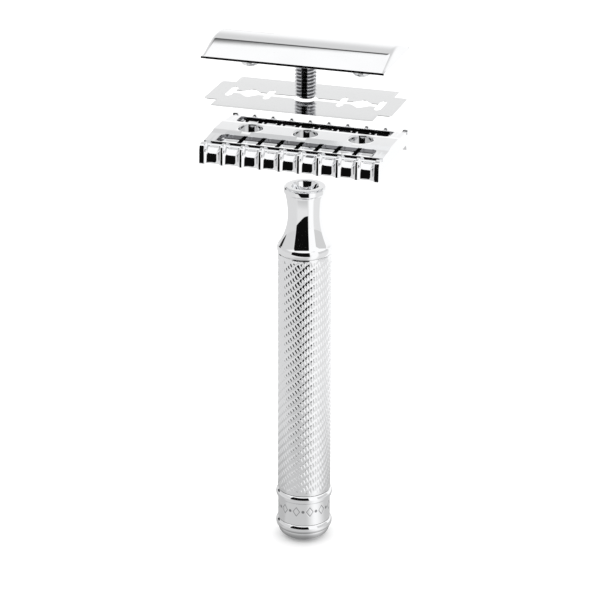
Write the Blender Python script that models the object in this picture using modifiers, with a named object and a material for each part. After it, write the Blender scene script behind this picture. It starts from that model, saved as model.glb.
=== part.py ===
"""Safety razor with an open comb, drawn apart along its axis.

The handle stands upright on its foot at the origin, with +Z up the handle, +X along the blade and
+Y across it.  The comb plate, the blade and the cap hover above the handle at the heights from which
they slide together: every gap closes downwards until cap, blade and comb are clamped on the neck.

All the constants are in millimetres and are turned into metres by MM.
"""

import math

import bmesh
import bpy
from mathutils import Matrix

MM = 0.001

# ---------------------------------------------------------------- driving dimensions (mm)
SEAM = 0.30                 # gap kept between two pieces that meet
ROUND_SIDES = 48            # sides of the large turned pieces
SMALL_SIDES = 32            # sides of pins, stud and small holes

# handle
FOOT_RADIUS = 4.9
CAP_BEAD_Z = 3.9            # middle of the bead on the end cap
END_CAP_TOP = 4.95
COLLAR_TOP = 12.55
COLLAR_BEAD_Z = 11.4        # middle of the bead on the collar ring
BEAD_RADIUS = 6.50
BEAD_HALF_HEIGHT = 1.00
BAND_RADIUS = 6.05
TUBE_RADIUS = 6.10
TUBE_TOP = 70.50
TUBE_BORE = 4.95
SPIGOT_RADIUS = TUBE_BORE - SEAM
NECK_TOP = 86.50
NECK_RIM_RADIUS = 4.80
NECK_WAIST_RADIUS = 3.90
NECK_WAIST_Z = 79.60
NECK_FLARE_Z = 72.60        # where the concave flare meets the lower bead
SPIGOT_LENGTH = 9.0

# the threaded way into the neck
MOUTH_RADIUS = 2.95
MOUTH_DEPTH = 2.5
INSERT_RADIUS = 3.20
INSERT_BORE = 2.62
INSERT_LENGTH = 8.2
INSERT_PLAY = 0.10

# M5 x 0.8 stud
STUD_RADIUS = 2.45
STUD_LENGTH = 11.60
THREAD_PITCH = 0.8
HEAD_TURNS = 12.5           # turns that draw the comb down onto the neck

# standard double-edge blade
BLADE_LENGTH = 43.0
BLADE_WIDTH = 22.0
BLADE_BODY_LENGTH = 36.9
BLADE_TAB_WIDTH = 13.2
BLADE_THICKNESS = 0.10
POST_SPACING = 12.8         # from the middle of the blade to a locating hole

# comb plate
COMB_LENGTH = 41.0
COMB_DEPTH = 25.6
COMB_HEIGHT = 5.0
LAND_FLAT = 3.1             # half width of the flat land
LAND_EDGE = 4.6             # half width of the land at the trough
LAND_DROP = 0.40
LAND_THICKNESS = 2.0
TROUGH_DROP = 1.10
BAR_INNER = 9.0             # inner edge of the bar that carries the teeth
BAR_DROP = 0.80
BAR_EDGE = 0.20             # bevel along the bar's inner edge
WALL_HALF = 12.0            # recessed wall between the teeth
WALL_DROP = 2.10
FACE_DRAFT = 0.15           # how much further out the long faces stand at the bottom
SKIRT = 1.9                 # thickness of the long sides at the bottom
END_BLOCK = 2.4             # length of the solid ends
TOOTH_COUNT = 10
TOOTH_PITCH = 4.40
TOOTH_WIDTH = 1.0
TOOTH_NOSE = 1.0            # radius of a tooth's rounded nose
TOOTH_NOSE_DROP = 1.75
END_TOOTH_WIDTH = 1.3
RIB_WIDTH = 0.9
WINDOW_MARGIN = 0.2         # what is left of the web beside a window between two ribs
COMB_HOLE_RADIUS = 2.70
HOLE_CHAMFER = 0.25

# cap
CAP_LENGTH = 41.4
CAP_HALF_WIDTH = 10.4
CAP_LIP = 0.35
CAP_CREASE = 3.2
CAP_CREASE_RISE = 2.75
CAP_CROWN_RISE = 3.25
CAP_HOLLOW_RISE = 1.75
CAP_END_BEVEL = 0.6
POST_RADIUS = 2.10
CAP_RIM_WIDTH = 1.0         # flat under the long sides
POST_DROP = 3.70            # how far a locating post reaches below the cap's rim
POST_ROUND = 0.7            # radius of a post's rounded end
STUD_CHAMFER = 0.5
BOSS_RADIUS = 3.4
BOSS_HEIGHT = 1.6
SOCKET_DEPTH = 2.3          # from the cap's rim up to the floor of the sockets

# how far the pieces hover apart
SEATED_GAP = 0.05           # clearance left when two pieces are clamped together
HEAD_TRAVEL = HEAD_TURNS * THREAD_PITCH
BLADE_TRAVEL = 8.05
CAP_TRAVEL = 10.20

COMB_UNDER_Z = NECK_TOP + HEAD_TRAVEL + 2 * SEATED_GAP
LAND_Z = COMB_UNDER_Z + LAND_THICKNESS
BLADE_Z = LAND_Z + BLADE_TRAVEL + SEATED_GAP
CAP_RIM_Z = BLADE_Z + BLADE_THICKNESS + CAP_TRAVEL + SEATED_GAP
PIN_TOP_Z = CAP_RIM_Z + SOCKET_DEPTH - SEAM


# ---------------------------------------------------------------- scene and collections
def clear_scene():
    for old in list(bpy.data.objects):
        bpy.data.objects.remove(old, do_unlink=True)


def new_collection(name):
    collection = bpy.data.collections.new(name)
    bpy.context.scene.collection.children.link(collection)
    return collection


clear_scene()
PARTS = new_collection("safety_razor")
CUTTERS = new_collection("cutters")


def material(name, colour, roughness, metallic):
    mat = bpy.data.materials.new(name)
    mat.use_nodes = True
    shader = mat.node_tree.nodes["Principled BSDF"]
    shader.inputs["Base Color"].default_value = (*colour, 1.0)
    shader.inputs["Roughness"].default_value = roughness
    shader.inputs["Metallic"].default_value = metallic
    return mat


# ---------------------------------------------------------------- modelling helpers
def link(obj, collection, mat=None):
    for home in list(obj.users_collection):
        home.objects.unlink(obj)
    collection.objects.link(obj)
    if mat is not None:
        obj.data.materials.clear()
        obj.data.materials.append(mat)
    return obj


def as_cutter(obj):
    link(obj, CUTTERS)
    obj.hide_render = True
    obj.display_type = 'WIRE'
    return obj


def boolean(target, other, operation='DIFFERENCE'):
    step = target.modifiers.new(other.name, 'BOOLEAN')
    step.operation = operation
    step.solver = 'EXACT'
    step.object = other
    return step


def cylinder(name, radius, height, centre, sides=SMALL_SIDES, top_radius=None):
    """A round bar along Z around centre, or a cone when top_radius is given."""
    mesh = bpy.data.meshes.new(name)
    bm = bmesh.new()
    bmesh.ops.create_cone(bm, cap_ends=True, segments=sides, radius1=radius * MM,
                          radius2=(radius if top_radius is None else top_radius) * MM,
                          depth=height * MM)
    bm.to_mesh(mesh)
    bm.free()
    obj = bpy.data.objects.new(name, mesh)
    obj.location = [value * MM for value in centre]
    return obj


def box(name, size, centre):
    mesh = bpy.data.meshes.new(name)
    bm = bmesh.new()
    bmesh.ops.create_cube(bm, size=1.0)
    bmesh.ops.scale(bm, vec=[value * MM for value in size], verts=bm.verts)
    bm.to_mesh(mesh)
    bm.free()
    obj = bpy.data.objects.new(name, mesh)
    obj.location = [value * MM for value in centre]
    return obj


def turned(name, outline, mat, sides=ROUND_SIDES):
    """Spin an outline of (radius, height) points, which runs down the outer side, around Z."""
    mesh = bpy.data.meshes.new(name)
    count = len(outline)
    closed = outline[0][0] > 0.0 or outline[-1][0] > 0.0
    edges = [(i, i + 1) for i in range(count - 1)]
    if closed:
        edges.append((count - 1, 0))
    mesh.from_pydata([(r * MM, 0.0, z * MM) for r, z in outline], edges, [])
    obj = bpy.data.objects.new(name, mesh)
    link(obj, PARTS, mat)
    screw = obj.modifiers.new("turn", 'SCREW')
    screw.axis = 'Z'
    screw.steps = sides
    screw.render_steps = sides
    screw.use_merge_vertices = True
    screw.merge_threshold = 0.00001
    screw.use_smooth_shade = True
    return obj


def arc(centre, radius, start, end, count):
    """Points on a circle from start to end, both in degrees."""
    points = []
    for i in range(count):
        angle = math.radians(start + (end - start) * i / (count - 1))
        points.append((centre[0] + radius * math.cos(angle), centre[1] + radius * math.sin(angle)))
    return points


def bowed(start, end, bulge, count):
    """Points from start to end, bowed out to the left of the line by bulge in the middle."""
    dx, dz = end[0] - start[0], end[1] - start[1]
    length = math.hypot(dx, dz)
    points = []
    for i in range(count):
        t = i / (count - 1)
        lift = bulge * 4.0 * t * (1.0 - t)
        points.append((start[0] + dx * t - dz / length * lift, start[1] + dz * t + dx / length * lift))
    return points


def outline_solid(name, loops, thickness):
    """Fill flat loops of (x, y) points as a 2D curve, thicken it along Z and make it a mesh."""
    curve = bpy.data.curves.new(name, 'CURVE')
    curve.dimensions = '2D'
    curve.fill_mode = 'BOTH'
    curve.extrude = thickness * MM / 2
    for loop in loops:
        spline = curve.splines.new('POLY')
        spline.points.add(len(loop) - 1)
        for point, (x, y) in zip(spline.points, loop):
            point.co = (x * MM, y * MM, 0.0, 1.0)
        spline.use_cyclic_u = True
    guide = bpy.data.objects.new(name + "_outline", curve)
    bpy.context.scene.collection.objects.link(guide)
    bpy.context.view_layer.update()
    evaluated = guide.evaluated_get(bpy.context.evaluated_depsgraph_get())
    mesh = bpy.data.meshes.new_from_object(evaluated)
    bpy.data.objects.remove(guide, do_unlink=True)
    bm = bmesh.new()
    bm.from_mesh(mesh)
    bmesh.ops.remove_doubles(bm, verts=bm.verts, dist=0.000001)
    bmesh.ops.recalc_face_normals(bm, faces=bm.faces)
    bm.to_mesh(mesh)
    bm.free()
    mesh.name = name
    return mesh


def along_x(mesh):
    """Turn a solid whose outline was drawn as (y, z) so that its thickness runs along X."""
    mesh.transform(Matrix(((0, 0, 1, 0), (1, 0, 0, 0), (0, 1, 0, 0), (0, 0, 0, 1))))
    return mesh


def smooth(obj, angle=35.0):
    obj.data.shade_smooth()
    obj.data.set_sharp_from_angle(angle=math.radians(angle))


def joint_axis(name, height):
    """An empty on the handle's axis that carries what moves on one joint."""
    obj = bpy.data.objects.new(name, None)
    obj.empty_display_size = 0.01
    obj.location = (0.0, 0.0, height * MM)
    PARTS.objects.link(obj)
    return obj


def hang(joint, height, *pieces):
    """Parent pieces, placed in the world's frame, to a joint's empty at that height."""
    for piece in pieces:
        piece.parent = joint
        piece.matrix_parent_inverse = Matrix.Translation((0.0, 0.0, -height * MM))


# ---------------------------------------------------------------- materials
CHROME = material("chrome", (0.80, 0.81, 0.83), 0.07, 1.0)
CHROME_GRIP = material("chrome_knurled", (0.76, 0.77, 0.79), 0.16, 1.0)
STEEL = material("stud_chrome", (0.66, 0.67, 0.69), 0.18, 1.0)
BLADE_STEEL = material("blade_steel", (0.78, 0.79, 0.81), 0.14, 1.0)


# ---------------------------------------------------------------- handle
def bead(height):
    """A rounded ring around the handle, from its upper edge down to its lower edge."""
    bulge = BEAD_RADIUS - BAND_RADIUS + 0.15
    return [(BEAD_RADIUS - bulge + bulge * math.cos(math.radians(a)),
             height + BEAD_HALF_HEIGHT * math.sin(math.radians(a))) for a in range(75, -76, -25)]


def make_end_cap():
    dome_top = CAP_BEAD_Z - BEAD_HALF_HEIGHT
    dome = [(FOOT_RADIUS + (BAND_RADIUS - FOOT_RADIUS) * math.cos(math.radians(a)),
             dome_top - dome_top * math.sin(math.radians(a))) for a in (20, 45, 70, 90)]
    spigot_top = COLLAR_TOP + SPIGOT_LENGTH
    outline = [(0.0, spigot_top), (SPIGOT_RADIUS, spigot_top), (SPIGOT_RADIUS, END_CAP_TOP)]
    outline += bead(CAP_BEAD_Z)
    outline += dome
    outline.append((0.0, 0.0))
    return turned("end_cap", outline, CHROME)


def make_collar_ring():
    outline = [(TUBE_BORE, COLLAR_TOP)]
    outline += bead(COLLAR_BEAD_Z)
    outline += [(BAND_RADIUS, COLLAR_BEAD_Z - BEAD_HALF_HEIGHT - 0.15),
                (BAND_RADIUS, END_CAP_TOP + SEAM),
                (TUBE_BORE, END_CAP_TOP + SEAM)]
    return turned("collar_ring", outline, CHROME)


def make_grip_tube():
    bottom = COLLAR_TOP + SEAM
    outline = [(TUBE_BORE, TUBE_TOP),
               (TUBE_RADIUS - 0.2, TUBE_TOP),
               (TUBE_RADIUS, TUBE_TOP - 0.2),
               (TUBE_RADIUS, bottom + 0.2),
               (TUBE_RADIUS - 0.2, bottom),
               (TUBE_BORE, bottom)]
    return turned("grip_tube", outline, CHROME_GRIP)


def neck_profile():
    """The outer side of the neck: rim bead, waist, concave flare and lower bead."""
    rim_z = NECK_TOP - 1.1
    points = [(3.9, NECK_TOP), (4.45, NECK_TOP - 0.25), (NECK_RIM_RADIUS, rim_z + 0.2),
              (NECK_RIM_RADIUS - 0.08, rim_z - 0.5)]
    waist = []
    for i in range(1, 7):
        t = i / 7
        ease = 0.5 + 0.5 * math.cos(math.pi * t)
        waist.append((NECK_WAIST_RADIUS + (NECK_RIM_RADIUS - 0.15 - NECK_WAIST_RADIUS) * ease,
                      rim_z - 0.5 + (NECK_WAIST_Z - rim_z + 0.5) * t))
    flare = []
    for i in range(0, 9):
        t = i / 8
        flare.append((NECK_WAIST_RADIUS + (5.95 - NECK_WAIST_RADIUS) * t ** 2.1,
                      NECK_WAIST_Z + (NECK_FLARE_Z - NECK_WAIST_Z) * t))
    foot = [(6.22, NECK_FLARE_Z - 0.45), (6.30, NECK_FLARE_Z - 0.95), (6.24, NECK_FLARE_Z - 1.4),
            (TUBE_RADIUS, TUBE_TOP + SEAM)]
    return points + waist + flare + foot


def make_neck():
    bore = INSERT_RADIUS + INSERT_PLAY
    mouth_floor = NECK_TOP - MOUTH_DEPTH
    spigot_bottom = TUBE_TOP - SPIGOT_LENGTH
    outline = [(MOUTH_RADIUS, mouth_floor), (MOUTH_RADIUS, NECK_TOP - 0.2),
               (MOUTH_RADIUS + 0.2, NECK_TOP)]
    outline += neck_profile()
    outline += [(SPIGOT_RADIUS, TUBE_TOP + SEAM), (SPIGOT_RADIUS, spigot_bottom),
                (bore, spigot_bottom), (bore, mouth_floor)]
    return turned("neck", outline, CHROME)


def make_thread_insert():
    top = NECK_TOP - MOUTH_DEPTH - SEAM
    bottom = top - INSERT_LENGTH
    outline = [(INSERT_BORE, top - 0.3), (INSERT_BORE + 0.25, top), (INSERT_RADIUS, top),
               (INSERT_RADIUS, bottom), (INSERT_BORE, bottom)]
    return turned("thread_insert", outline, STEEL, SMALL_SIDES)


# ---------------------------------------------------------------- blade
def blade_outline():
    """Body with square corners and narrower tabs at both ends, as one loop of (x, y)."""
    half_body, half_width = BLADE_BODY_LENGTH / 2, BLADE_WIDTH / 2
    half_length, half_tab = BLADE_LENGTH / 2, BLADE_TAB_WIDTH / 2
    corner = 0.6
    quarter = [(half_length, half_tab - corner), (half_length - corner, half_tab),
               (half_body, half_tab), (half_body, half_width)]
    loop = list(quarter)
    loop += [(-x, y) for x, y in reversed(quarter)]
    loop += [(-x, -y) for x, y in quarter]
    loop += [(x, -y) for x, y in reversed(quarter)]
    return loop


def slot_half_width(x):
    """Half width of the blade's slot at x: centre hole, cross slits and the two locating lobes."""
    x = abs(x)
    width = 0.9
    if x < 2.6:
        width = max(width, math.sqrt(2.6 ** 2 - x ** 2))
    lobe = 3.1 * (1.0 - abs(x - POST_SPACING) / 3.0)
    width = max(width, min(2.75, lobe))
    for middle in (8.4, 17.15):
        if abs(x - middle) <= 0.75:
            width = max(width, 3.4 - 0.9 * (abs(x - middle) / 0.75) ** 2)
    return width


def slot_outline():
    stations = [0.0, 0.8, 1.5, 2.1, 2.44, 7.64, 7.65, 8.0, 8.4, 8.8, 9.15, 9.16, 10.67, 12.46,
                13.14, 14.93, 16.39, 16.40, 16.8, 17.15, 17.5, 17.90]
    right = [(x, slot_half_width(x)) for x in stations]
    loop = list(right)
    loop += [(x, -y) for x, y in reversed(right)]
    loop += [(-x, -y) for x, y in right[1:]]
    loop += [(-x, y) for x, y in reversed(right[1:])]
    return loop


def make_blade():
    mesh = outline_solid("razor_blade", [blade_outline(), slot_outline()], BLADE_THICKNESS)
    obj = bpy.data.objects.new("razor_blade", mesh)
    obj.location = (0.0, 0.0, (BLADE_Z + BLADE_THICKNESS / 2) * MM)
    return link(obj, PARTS, BLADE_STEEL)


# ---------------------------------------------------------------- comb plate
def comb_section():
    """Half section of the plate as (y, z) from the middle outwards, z below the land."""
    bar_top = (BAR_INNER + BAR_EDGE, -BAR_DROP)
    top = [(0.0, 0.0), (LAND_FLAT, 0.0), (LAND_EDGE, -LAND_DROP), (LAND_EDGE, -TROUGH_DROP),
           (BAR_INNER, -TROUGH_DROP), (BAR_INNER, -BAR_DROP - BAR_EDGE), bar_top]
    outside = bowed(bar_top, (WALL_HALF - 0.15, -WALL_DROP), 0.12, 4)[1:]
    outside += [(WALL_HALF, -WALL_DROP - 0.3), (WALL_HALF + FACE_DRAFT, -COMB_HEIGHT)]
    inner = WALL_HALF - SKIRT
    under = [(inner, -COMB_HEIGHT), (inner - 0.6, -LAND_THICKNESS - 0.4),
             (inner - 1.4, -LAND_THICKNESS), (0.0, -LAND_THICKNESS)]
    return top + outside + under


def tooth_outline():
    """Side view of one tooth as (y, z): a rounded nose over a straight face, sunk into the bar."""
    face = COMB_DEPTH / 2
    root = BAR_INNER + 0.9
    nose = arc((face - FACE_DRAFT - TOOTH_NOSE, -TOOTH_NOSE_DROP), TOOTH_NOSE, 90, 10, 6)
    loop = [(root, -LAND_THICKNESS), (root, -BAR_DROP - 0.18), (root + 0.7, TOOTH_NOSE - TOOTH_NOSE_DROP)]
    return loop + nose + [(face, -COMB_HEIGHT), (WALL_HALF - 1.2, -COMB_HEIGHT)]


def mirrored(half):
    """Close a half section given from the middle round to the middle again."""
    return half + [(-y, z) for y, z in reversed(half) if y > 0.0]


def tooth_positions():
    first = -TOOTH_PITCH * (TOOTH_COUNT - 1) / 2
    inner = [first + TOOTH_PITCH * i for i in range(1, TOOTH_COUNT - 1)]
    end = COMB_LENGTH / 2 - END_TOOTH_WIDTH / 2
    return [-end] + inner + [end]


def comb_piece(name, loop, thickness, x):
    obj = bpy.data.objects.new(name, along_x(outline_solid(name, [loop], thickness)))
    obj.location = (x * MM, 0.0, LAND_Z * MM)
    return obj


def make_comb():
    comb = comb_piece("comb_plate", mirrored(comb_section()), COMB_LENGTH, 0.0)
    link(comb, PARTS, CHROME)

    # solid ends close the trough and the space under the plate
    end_loop = mirrored([(0.0, 0.0), (LAND_FLAT, 0.0), (BAR_INNER + 0.3, -BAR_DROP),
                         (WALL_HALF - 0.1, -1.5), (WALL_HALF - 0.1, -COMB_HEIGHT + 0.1),
                         (WALL_HALF - SKIRT - 0.2, -COMB_HEIGHT + 0.4), (5.0, -3.9), (0.0, -3.7)])
    for side in (-1, 1):
        x = side * (COMB_LENGTH / 2 - END_BLOCK / 2 - 0.01)
        block = as_cutter(comb_piece("end_block", end_loop, END_BLOCK, x))
        boolean(comb, block, 'UNION')

    for x in tooth_positions():
        at_end = abs(x) > COMB_LENGTH / 2 - END_TOOTH_WIDTH
        width = END_TOOTH_WIDTH if at_end else TOOTH_WIDTH
        for side in (-1, 1):
            loop = [(y * side, z) for y, z in tooth_outline()]
            tooth = as_cutter(comb_piece("tooth", loop, width, x))
            boolean(comb, tooth, 'UNION')

    # the trough is open between ribs that stand at the middle of each gap
    window_size = (TOOTH_PITCH - RIB_WIDTH, BAR_INNER - LAND_EDGE - 2 * WINDOW_MARGIN, 3.0)
    windows = TOOTH_COUNT - 2
    for i in range(windows):
        x = TOOTH_PITCH * (i - (windows - 1) / 2)
        for side in (-1, 1):
            middle = (LAND_EDGE + BAR_INNER) / 2 * side
            window = box("window", window_size, (x, middle, LAND_Z - 1.6))
            boolean(comb, as_cutter(window))

    for x in (-POST_SPACING, 0.0, POST_SPACING):
        hole = cylinder("post_hole", COMB_HOLE_RADIUS, 3 * LAND_THICKNESS, (x, 0.0, LAND_Z - 1.0))
        boolean(comb, as_cutter(hole))
        flare = cylinder("hole_chamfer", COMB_HOLE_RADIUS - HOLE_CHAMFER, 4 * HOLE_CHAMFER,
                         (x, 0.0, LAND_Z + HOLE_CHAMFER), top_radius=COMB_HOLE_RADIUS + 3 * HOLE_CHAMFER)
        boolean(comb, as_cutter(flare))
    return comb


# ---------------------------------------------------------------- cap, posts and stud
def cap_section():
    """The cap across the blade as (y, z): a bowed shell with flat lips along its rim."""
    outer = bowed((CAP_HALF_WIDTH, CAP_LIP), (CAP_CREASE, CAP_CREASE_RISE), -0.30, 7)
    crown = bowed((CAP_CREASE, CAP_CREASE_RISE), (0.0, CAP_CROWN_RISE), -0.06, 4)[1:]
    hollow = []
    for i in range(0, 7):
        t = i / 6
        y = (CAP_HALF_WIDTH - CAP_RIM_WIDTH) * t
        hollow.append((y, CAP_HOLLOW_RISE * math.sqrt(max(0.0, 1.0 - t ** 2.4))))
    half = list(reversed(crown)) + list(reversed(outer)) + [(CAP_HALF_WIDTH, 0.0)] \
        + list(reversed(hollow))
    return mirrored(half)


def make_cap():
    mesh = along_x(outline_solid("cap_plate", [cap_section()], CAP_LENGTH))
    bm = bmesh.new()
    bm.from_mesh(mesh)
    weight = bm.edges.layers.float.new('bevel_weight_edge')
    end = CAP_LENGTH / 2 * MM
    for edge in bm.edges:
        at_end = all(abs(abs(v.co.x) - end) < 1e-6 for v in edge.verts)
        outside = all(v.co.z > (CAP_HOLLOW_RISE + 0.2 - abs(v.co.y) / MM * 0.16) * MM
                      for v in edge.verts)
        if at_end and outside:
            edge[weight] = 1.0
    bm.to_mesh(mesh)
    bm.free()
    cap = bpy.data.objects.new("cap_plate", mesh)
    cap.location = (0.0, 0.0, CAP_RIM_Z * MM)
    link(cap, PARTS, CHROME)
    bevel = cap.modifiers.new("end_bevel", 'BEVEL')
    bevel.limit_method = 'WEIGHT'
    bevel.width = CAP_END_BEVEL * MM
    bevel.segments = 2

    for x in (-POST_SPACING, 0.0, POST_SPACING):
        boss = cylinder("boss", BOSS_RADIUS, BOSS_HEIGHT, (x, 0.0, CAP_RIM_Z + CAP_HOLLOW_RISE + 0.1))
        boolean(cap, as_cutter(boss), 'UNION')
        radius = STUD_RADIUS if x == 0.0 else POST_RADIUS
        length = SOCKET_DEPTH + 1.0
        socket = cylinder("socket", radius + SEAM, length,
                          (x, 0.0, CAP_RIM_Z + SOCKET_DEPTH - length / 2))
        boolean(cap, as_cutter(socket))
    return cap


def make_post(name, x):
    bottom = CAP_RIM_Z - POST_DROP
    outline = [(0.0, PIN_TOP_Z), (POST_RADIUS, PIN_TOP_Z)]
    outline += arc((POST_RADIUS - POST_ROUND, bottom + POST_ROUND), POST_ROUND, 0, -90, 4)
    outline.append((0.0, bottom))
    post = turned(name, outline, CHROME, SMALL_SIDES)
    post.location = (x * MM, 0.0, 0.0)
    return post


def make_stud():
    tip = CAP_RIM_Z + CAP_HOLLOW_RISE - STUD_LENGTH
    outline = [(0.0, PIN_TOP_Z), (STUD_RADIUS, PIN_TOP_Z), (STUD_RADIUS, tip + STUD_CHAMFER),
               (STUD_RADIUS - STUD_CHAMFER, tip), (0.0, tip)]
    return turned("threaded_stud", outline, STEEL, SMALL_SIDES)


# ---------------------------------------------------------------- assembly
def assemble():
    make_end_cap()
    make_collar_ring()
    make_grip_tube()
    make_neck()

    turn = joint_axis("head_turn_axis", NECK_TOP)
    comb_lift = joint_axis("head_lift_axis", COMB_UNDER_Z)
    blade_lift = joint_axis("blade_lift_axis", BLADE_Z)
    cap_lift = joint_axis("cap_lift_axis", CAP_RIM_Z)

    comb = make_comb()
    cap = make_cap()
    hang(turn, NECK_TOP, make_thread_insert(), comb_lift)
    hang(comb_lift, COMB_UNDER_Z, comb, blade_lift)
    hang(blade_lift, BLADE_Z, make_blade(), cap_lift)
    hang(cap_lift, CAP_RIM_Z, cap, make_stud(),
         make_post("locating_post_left", -POST_SPACING),
         make_post("locating_post_right", POST_SPACING))
    smooth(comb)
    smooth(cap)


assemble()
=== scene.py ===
"""Looks of the open comb safety razor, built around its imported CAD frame.

Every visible piece is a fine mesh that stands for its CAD node: turned pieces with rolled edges, a true
diamond knurl, cut M5 threads, a comb with rounded teeth and ribbed troughs, and a ground blade.
Lengths are in millimetres and are turned into metres by MM when a mesh is made.
"""

import math

import bmesh
import bpy
from mathutils import Matrix, Quaternion, Vector


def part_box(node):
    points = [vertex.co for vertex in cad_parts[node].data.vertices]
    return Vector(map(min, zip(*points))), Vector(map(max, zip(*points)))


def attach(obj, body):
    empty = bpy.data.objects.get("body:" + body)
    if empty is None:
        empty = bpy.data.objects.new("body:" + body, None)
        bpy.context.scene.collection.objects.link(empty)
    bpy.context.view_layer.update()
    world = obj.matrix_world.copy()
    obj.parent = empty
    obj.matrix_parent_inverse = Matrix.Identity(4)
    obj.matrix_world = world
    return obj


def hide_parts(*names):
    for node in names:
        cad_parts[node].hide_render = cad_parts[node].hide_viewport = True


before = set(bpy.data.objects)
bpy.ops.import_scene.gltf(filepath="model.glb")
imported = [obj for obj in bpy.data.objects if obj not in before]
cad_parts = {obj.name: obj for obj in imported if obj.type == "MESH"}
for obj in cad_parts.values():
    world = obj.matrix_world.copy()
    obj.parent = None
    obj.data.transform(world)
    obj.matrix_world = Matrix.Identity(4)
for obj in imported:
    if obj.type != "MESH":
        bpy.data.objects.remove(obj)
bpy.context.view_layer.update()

MM = 0.001


def node_box(node):
    """Lowest and highest corner of a CAD node, in millimetres."""
    low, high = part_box(node)
    return low / MM, high / MM


CAP_LOW, CAP_HIGH = node_box("cap_plate")
STUD_LOW, STUD_HIGH = node_box("threaded_stud")
POST_LOW, POST_HIGH = node_box("locating_post_right")
BLADE_LOW, BLADE_HIGH = node_box("razor_blade")
COMB_LOW, COMB_HIGH = node_box("comb_plate")
NECK_LOW, NECK_HIGH = node_box("neck")
INSERT_LOW, INSERT_HIGH = node_box("thread_insert")
TUBE_LOW, TUBE_HIGH = node_box("grip_tube")
COLLAR_LOW, COLLAR_HIGH = node_box("collar_ring")
END_LOW, END_HIGH = node_box("end_cap")

SEAM = 0.30  # CAD gap between two pieces that meet
HAIRLINE = 0.06  # what shows of that gap on the finished razor
TUBE_BORE = 4.95


# ---------------------------------------------------------------- outlines
def filleted(points, closed=False, steps=6):
    """Round the corners of an outline whose points are (u, v) or (u, v, radius)."""
    rounded = []
    count = len(points)
    for i, point in enumerate(points):
        here = Vector(point[:2])
        radius = point[2] if len(point) > 2 else 0.0
        if radius == 0.0 or (not closed and i in (0, count - 1)):
            rounded.append(tuple(here))
            continue
        back = Vector(points[i - 1][:2]) - here
        ahead = Vector(points[(i + 1) % count][:2]) - here
        half = back.angle(ahead) / 2
        if half > math.pi / 2 - 0.01:
            reach = min(0.1 * radius, 0.3 * back.length, 0.3 * ahead.length)
            start, end = here + back.normalized() * reach, here + ahead.normalized() * reach
            rounded += [tuple(start.lerp(end, k / steps)) for k in range(steps + 1)]
            continue
        reach = min(radius / math.tan(half), 0.48 * back.length, 0.48 * ahead.length)
        radius = reach * math.tan(half)
        centre = here + (back.normalized() + ahead.normalized()).normalized() * radius / math.sin(half)
        first = here + back.normalized() * reach - centre
        last = here + ahead.normalized() * reach - centre
        sweep = first.angle_signed(last)
        for k in range(steps + 1):
            rounded.append(tuple(centre + Matrix.Rotation(-sweep * k / steps, 2) @ first))
    return rounded


def arc(centre, radius, start, end, count):
    """Points on a circle from start to end, both in degrees."""
    points = []
    for i in range(count):
        angle = math.radians(start + (end - start) * i / (count - 1))
        points.append((centre[0] + radius * math.cos(angle), centre[1] + radius * math.sin(angle)))
    return points


def smoothstep(value):
    value = min(1.0, max(0.0, value))
    return value * value * (3.0 - 2.0 * value)


# ---------------------------------------------------------------- meshes
def weigh_normals(piece):
    """Keep flat faces flat next to a small rounding."""
    step = piece.modifiers.new("normals", 'WEIGHTED_NORMAL')
    step.keep_sharp = True
    step.weight = 80


def object_from(bm, name):
    """Turn a bmesh in millimetres into an object in metres."""
    bmesh.ops.scale(bm, vec=(MM, MM, MM), verts=bm.verts)
    mesh = bpy.data.meshes.new(name)
    bm.to_mesh(mesh)
    bm.free()
    made = bpy.data.objects.new(name, mesh)
    bpy.context.scene.collection.objects.link(made)
    return made


def finished(name, bm, body, mat, replaces, angle=35.0, weighted=True):
    """Turn a bmesh into a smooth shaded piece that rides on its CAD body."""
    bmesh.ops.recalc_face_normals(bm, faces=bm.faces)
    piece = object_from(bm, name)
    piece.data.materials.append(mat)
    piece.data.shade_smooth()
    piece.data.set_sharp_from_angle(angle=math.radians(angle))
    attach(piece, body)
    if replaces:
        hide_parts(*replaces)
    if weighted:
        weigh_normals(piece)
    return piece


def revolve(bm, outline, sides, centre=(0.0, 0.0), relief=None):
    """Spin an outline of (radius, height) points round an upright axis.

    relief(angle, radius, height) gives how far a point of the surface sinks in.
    """
    rings = []
    for radius, height in outline:
        if radius < 1e-6:
            rings.append([bm.verts.new((centre[0], centre[1], height))])
            continue
        ring = []
        for i in range(sides):
            angle = 2 * math.pi * i / sides
            reach = radius - relief(angle, radius, height) if relief else radius
            ring.append(bm.verts.new((centre[0] + reach * math.cos(angle),
                                      centre[1] + reach * math.sin(angle), height)))
        rings.append(ring)
    pairs = list(zip(rings, rings[1:]))
    if len(rings[0]) > 1 and len(rings[-1]) > 1:
        pairs.append((rings[-1], rings[0]))
    for upper, lower in pairs:
        for i in range(sides):
            j = (i + 1) % sides
            corners = [upper[i % len(upper)], upper[j % len(upper)],
                       lower[j % len(lower)], lower[i % len(lower)]]
            unique = list(dict.fromkeys(corners))
            if len(unique) > 2:
                bm.faces.new(unique)


def loft(bm, sections):
    """Skin a row of closed sections with equal point counts and close both ends."""
    rings = [[bm.verts.new(point) for point in section] for section in sections]
    count = len(rings[0])
    for first, second in zip(rings, rings[1:]):
        for i in range(count):
            j = (i + 1) % count
            bm.faces.new((first[i], first[j], second[j], second[i]))
    bm.faces.new(list(reversed(rings[0])))
    bm.faces.new(rings[-1])


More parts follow.
